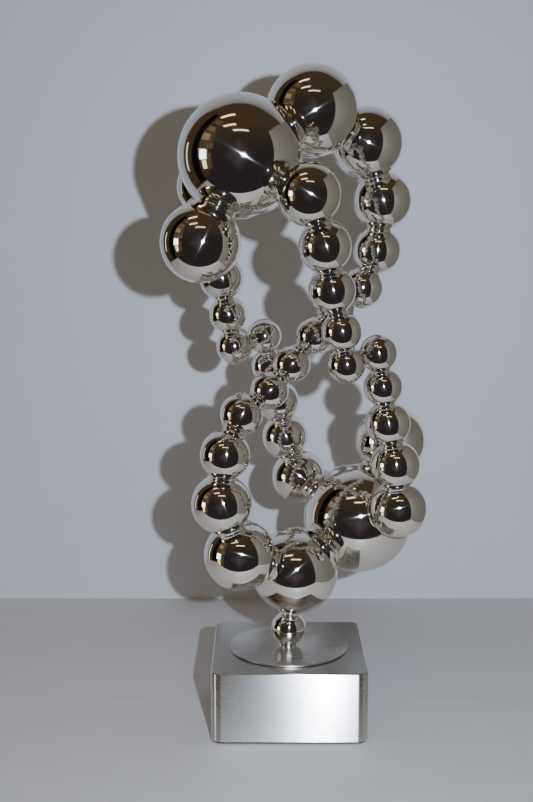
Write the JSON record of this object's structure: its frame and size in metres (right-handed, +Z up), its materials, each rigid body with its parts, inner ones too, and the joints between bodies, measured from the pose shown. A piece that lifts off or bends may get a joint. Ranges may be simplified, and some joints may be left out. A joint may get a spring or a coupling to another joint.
{
  "type": "desk sculpture",
  "caption": "Abstract desk sculpture of graded mirror-polished steel balls in three crossing strands, turning on a disc over a brushed square base",
  "frame": {"origin": "the centre of the base's resting face, on the turntable's axis", "axes": "+Z up along the turntable's axis, +X to the right and +Y to the back as seen from the front of the base"},
  "size_m": [0.2732, 0.2744, 0.6762],
  "materials": {
    "mirror_steel": "mirror-polished stainless steel",
    "brushed_steel": "fine vertical brushing",
    "fastener_steel": "plain machined",
    "cast_iron": "rough cast",
    "bronze": "machined",
    "nylon": "matte",
    "rubber": "matte"
  },
  "bodies": {
    "base": {"ballast_block": "cast_iron", "base_box": "brushed_steel", "base_pad": "rubber", "base_screw_1": "fastener_steel", "base_screw_2": "fastener_steel", "base_screw_3": "fastener_steel", "base_screw_4": "fastener_steel", "bottom_plate": "brushed_steel", "pivot_bush": "bronze", "slip_ring": "nylon"},
    "sculpture": {"back_bottom_ball_1": "mirror_steel", "back_bottom_ball_2": "mirror_steel", "back_bottom_ball_3": "mirror_steel", "back_bottom_ball_4": "mirror_steel", "back_bottom_ball_5": "mirror_steel", "back_top_ball_1": "mirror_steel", "back_top_ball_2": "mirror_steel", "back_top_ball_3": "mirror_steel", "back_top_ball_4": "mirror_steel", "back_top_ball_5": "mirror_steel", "back_waist_collar": "mirror_steel", "bottom_hub_ball": "mirror_steel", "bottom_side_ball": "mirror_steel", "foot_ball": "mirror_steel", "foot_collar": "mirror_steel", "front_bottom_ball_1": "mirror_steel", "front_bottom_ball_2": "mirror_steel", "front_bottom_ball_3": "mirror_steel", "front_bottom_ball_4": "mirror_steel", "front_bottom_ball_5": "mirror_steel", "front_top_ball_1": "mirror_steel", "front_top_ball_2": "mirror_steel", "front_top_ball_3": "mirror_steel", "front_top_ball_4": "mirror_steel", "front_top_ball_5": "mirror_steel", "front_waist_collar": "mirror_steel", "lock_nut": "fastener_steel", "long_bottom_ball_1": "mirror_steel", "long_bottom_ball_2": "mirror_steel", "long_bottom_ball_3": "mirror_steel", "long_bottom_ball_4": "mirror_steel", "long_bottom_ball_5": "mirror_steel", "long_bottom_ball_6": "mirror_steel", "long_bottom_ball_7": "mirror_steel", "long_top_ball_1": "mirror_steel", "long_top_ball_2": "mirror_steel", "long_top_ball_3": "mirror_steel", "long_top_ball_4": "mirror_steel", "long_top_ball_5": "mirror_steel", "long_top_ball_6": "mirror_steel", "long_top_ball_7": "mirror_steel", "long_waist_collar": "mirror_steel", "pivot_stud": "fastener_steel", "retaining_washer": "fastener_steel", "spring_washer": "fastener_steel", "top_hub_ball": "mirror_steel", "top_side_ball": "mirror_steel", "turntable_disc": "brushed_steel"}
  },
  "joints": [
    {"name": "turntable_spin", "type": "hinge", "parent": "base", "child": "sculpture", "pos_m": [0, 0, 0.0748], "axis": [0, 0, 1], "continuous": true}
  ]
}
